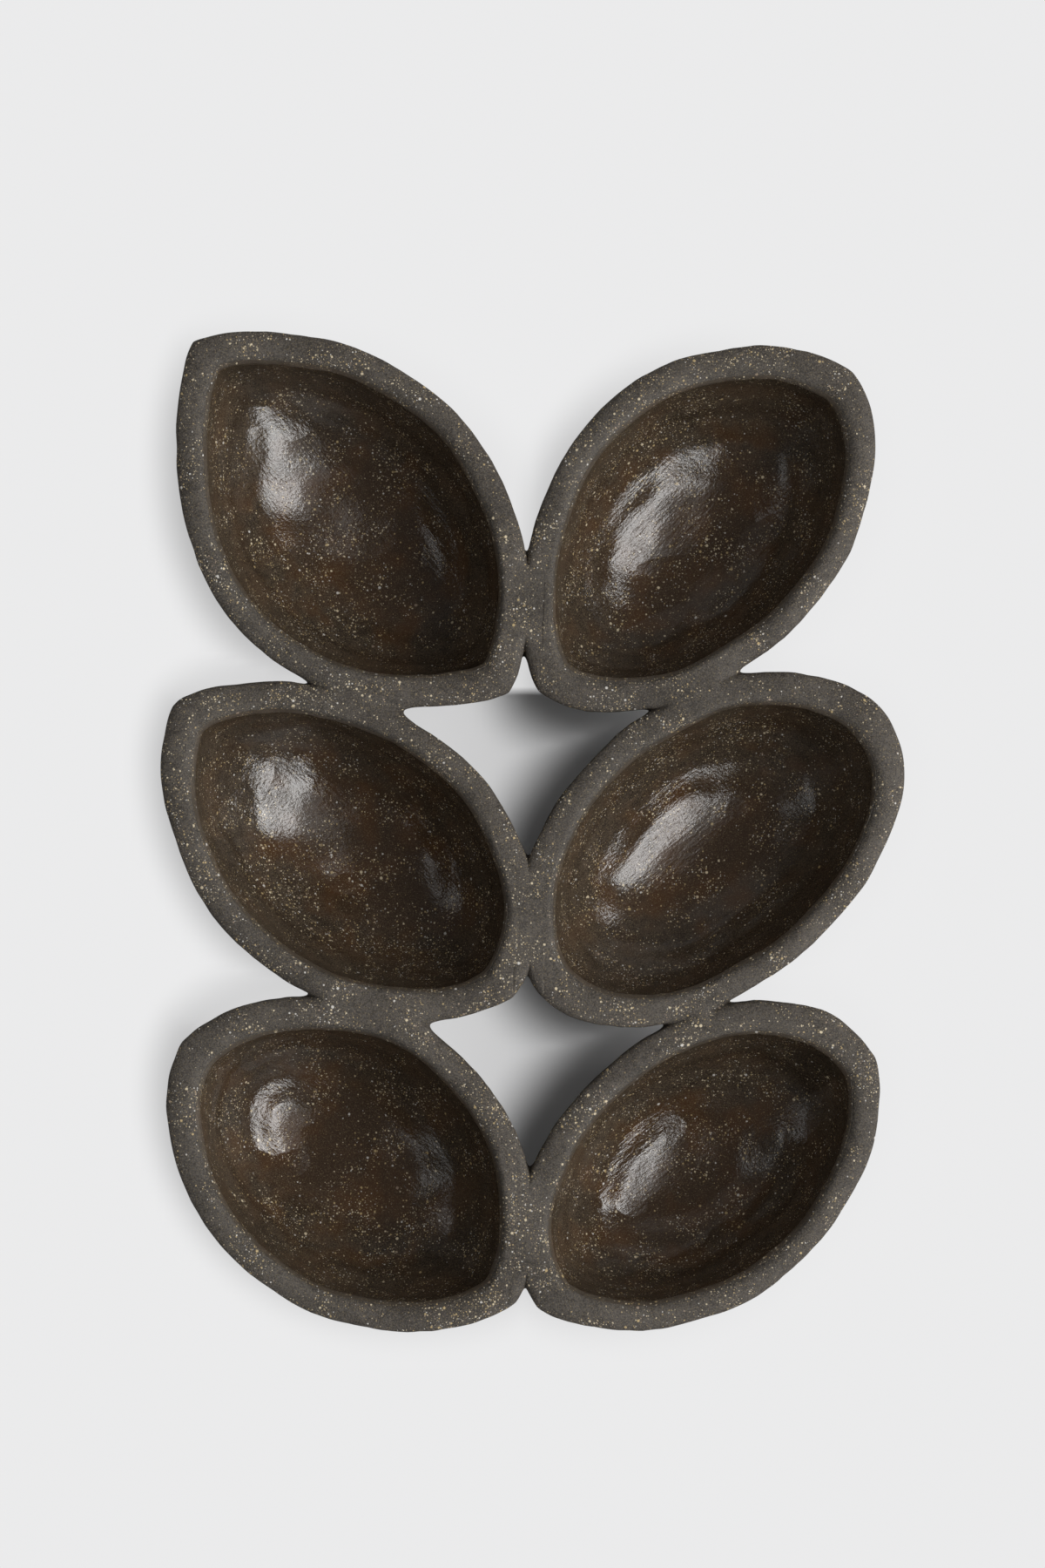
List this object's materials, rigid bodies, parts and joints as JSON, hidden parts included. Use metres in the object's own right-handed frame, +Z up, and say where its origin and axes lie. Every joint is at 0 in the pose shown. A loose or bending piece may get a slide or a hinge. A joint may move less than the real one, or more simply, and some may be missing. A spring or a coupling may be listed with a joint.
{
  "type": "divided serving dish",
  "caption": "Hand-built speckled stoneware dish of leaf-shaped bowls luted rim to rim, each hollow lined with dark glaze, for serving dips, nuts and condiments apart.",
  "frame": {"origin": "Under the middle of the dish's outline, on the surface it stands on", "axes": "+Y along the columns, towards the top pair of bowls; +X to the right seen from above; +Z up"},
  "size_m": [0.2128, 0.286, 0.048],
  "materials": {
    "stoneware": "matte speckled, unglazed",
    "glaze": "gloss",
    "luting_clay": "matte, finger-smoothed"
  },
  "bodies": {
    "root": {"bowl_top_left": "stoneware", "bowl_top_right": "stoneware", "bowl_middle_left": "stoneware", "bowl_middle_right": "stoneware", "bowl_bottom_left": "stoneware", "bowl_bottom_right": "stoneware", "glaze_top_left": "glaze", "glaze_top_right": "glaze", "glaze_middle_left": "glaze", "glaze_middle_right": "glaze", "glaze_bottom_left": "glaze", "glaze_bottom_right": "glaze", "seam_top": "luting_clay", "seam_middle": "luting_clay", "seam_bottom": "luting_clay", "seam_left_upper": "luting_clay", "seam_left_lower": "luting_clay", "seam_right_upper": "luting_clay", "seam_right_lower": "luting_clay"}
  },
  "joints": []
}
